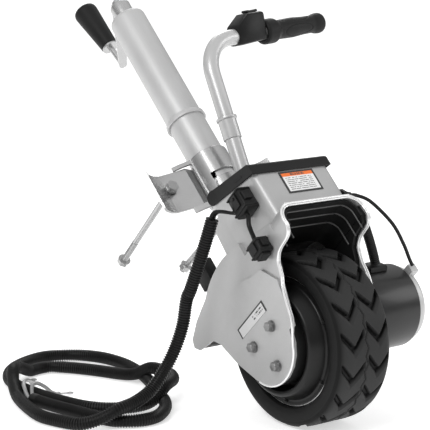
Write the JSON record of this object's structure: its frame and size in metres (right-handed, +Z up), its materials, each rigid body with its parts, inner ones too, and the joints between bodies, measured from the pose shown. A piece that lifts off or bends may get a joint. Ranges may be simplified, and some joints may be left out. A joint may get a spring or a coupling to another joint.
{
  "type": "trailer jack wheel",
  "caption": "Motorised jockey wheel: hub-driven solid wheel in a silver fork with box, handlebar grip and crank-raised telescopic mast held by a drawbar clamp.",
  "frame": {"origin": "centre of the drawbar clamp, on the mast's axis", "axes": "+Z up; the mast leans 46.2 degrees from upright towards +Y in the plane of Y and Z; +X along the wheel's axle towards the motor"},
  "size_m": [0.594, 0.8424, 0.6119],
  "materials": {
    "silver_paint": "satin silver-grey powder coat",
    "zinc": "bright zinc plating",
    "steel": "plain machined steel",
    "black_plastic": "matt black moulding",
    "black_paint": "satin black coating",
    "tyre_rubber": "matt dark grey rubber",
    "grip_rubber": "soft dark grey rubber",
    "conduit": "black corrugated plastic",
    "copper": "enamelled copper and steel",
    "label_film": "white printed film",
    "brass": "plain brass",
    "grey_lead": "grey cable jacket"
  },
  "bodies": {
    "fork": {"fork_housing": "silver_paint", "inner_liner": "black_plastic", "mast_bracket": "silver_paint", "top_cover": "black_plastic", "warning_label": "label_film", "rating_label": "label_film", "gear_drum": "black_paint", "axle": "steel", "plate_bolt_1": "zinc", "plate_bolt_2": "zinc", "plate_bolt_3": "zinc", "idler_pin": "steel", "gear_cover": "black_plastic", "motor_flange": "zinc", "motor_sleeve": "black_paint", "motor_end_cap": "zinc", "motor_magnets": "black_paint", "terminal_cover": "black_plastic", "motor_conduit": "conduit", "motor_cable": "conduit", "cable_relief": "black_plastic", "swivel_bearing": "zinc", "handlebar_base": "silver_paint", "handlebar": "silver_paint", "bar_sleeve": "silver_paint", "switch_housing": "black_plastic", "hand_grip": "grip_rubber", "connector_upper": "black_plastic", "connector_lower": "black_plastic", "connector_lead": "conduit", "relay_box": "black_plastic", "supply_conduit": "conduit", "feed_lead_1": "conduit", "feed_lead_2": "conduit", "battery_lead_1": "grey_lead", "battery_lead_2": "grey_lead"},
    "wheel": {"tyre": "tyre_rubber", "wheel_rim": "black_plastic", "hub_bearing_left": "steel", "hub_bearing_right": "steel", "ring_gear": "steel"},
    "idler": {"idler_gear": "steel"},
    "rotor": {"motor_rotor": "copper", "motor_pinion": "brass"},
    "inner_mast": {"tube_foot": "zinc", "inner_tube": "zinc", "lead_nut": "brass"},
    "outer_mast": {"outer_tube": "zinc", "stop_ring": "zinc", "clamp_collar": "zinc", "clamp_saddle": "zinc", "clamp_bolt_left": "zinc", "clamp_bolt_right": "zinc", "clamp_nut_left": "zinc", "clamp_nut_right": "zinc", "screw_bearing": "steel"},
    "crank": {"lead_screw": "steel", "crank_arm": "zinc"},
    "crank_grip": {"crank_grip": "black_plastic"},
    "rocker": {"rocker_switch": "black_plastic"}
  },
  "joints": [
    {"name": "wheel_roll", "type": "hinge", "parent": "fork", "child": "wheel", "pos_m": [0, -0.21941, -0.21041], "axis": [1, 0, 0], "continuous": true},
    {"name": "idler_spin", "type": "hinge", "parent": "fork", "child": "idler", "pos_m": [0, -0.18391, -0.22397], "axis": [1, 0, 0], "continuous": true},
    {"name": "rotor_spin", "type": "hinge", "parent": "fork", "child": "rotor", "pos_m": [0, -0.19993, -0.19172], "axis": [1, 0, 0], "continuous": true},
    {"name": "steer", "type": "hinge", "parent": "fork", "child": "inner_mast", "pos_m": [0, -0.21941, -0.21041], "axis": [0, 0.7218, 0.6921], "range_deg": [-60, 60]},
    {"name": "lift", "type": "slide", "parent": "inner_mast", "child": "outer_mast", "axis": [0, 0.7218, 0.6921], "range_m": [0, 0.1801]},
    {"name": "crank_turn", "type": "hinge", "parent": "outer_mast", "child": "crank", "pos_m": [0, -0.21941, -0.21041], "axis": [0, 0.7218, 0.6921], "range_deg": [0, 16200]},
    {"name": "crank_grip_spin", "type": "hinge", "parent": "crank", "child": "crank_grip", "pos_m": [0.08357, 0.37872, 0.14543], "axis": [-0.0846, 0.7494, 0.6566], "continuous": true},
    {"name": "rocker_tilt", "type": "hinge", "parent": "fork", "child": "rocker", "pos_m": [0.10508, 0.05443, 0.25267], "axis": [-0.0588, 0.9821, -0.1791], "range_deg": [-8, 8], "stiffness_Nm_per_rad": 0.08}
  ],
  "couplings": [
    {"joint": "idler_spin", "follows": "wheel_roll", "ratio": 4.1667},
    {"joint": "rotor_spin", "follows": "wheel_roll", "ratio": -14.583},
    {"joint": "lift", "follows": "crank_turn", "m_per_rad": 0.00063662}
  ]
}
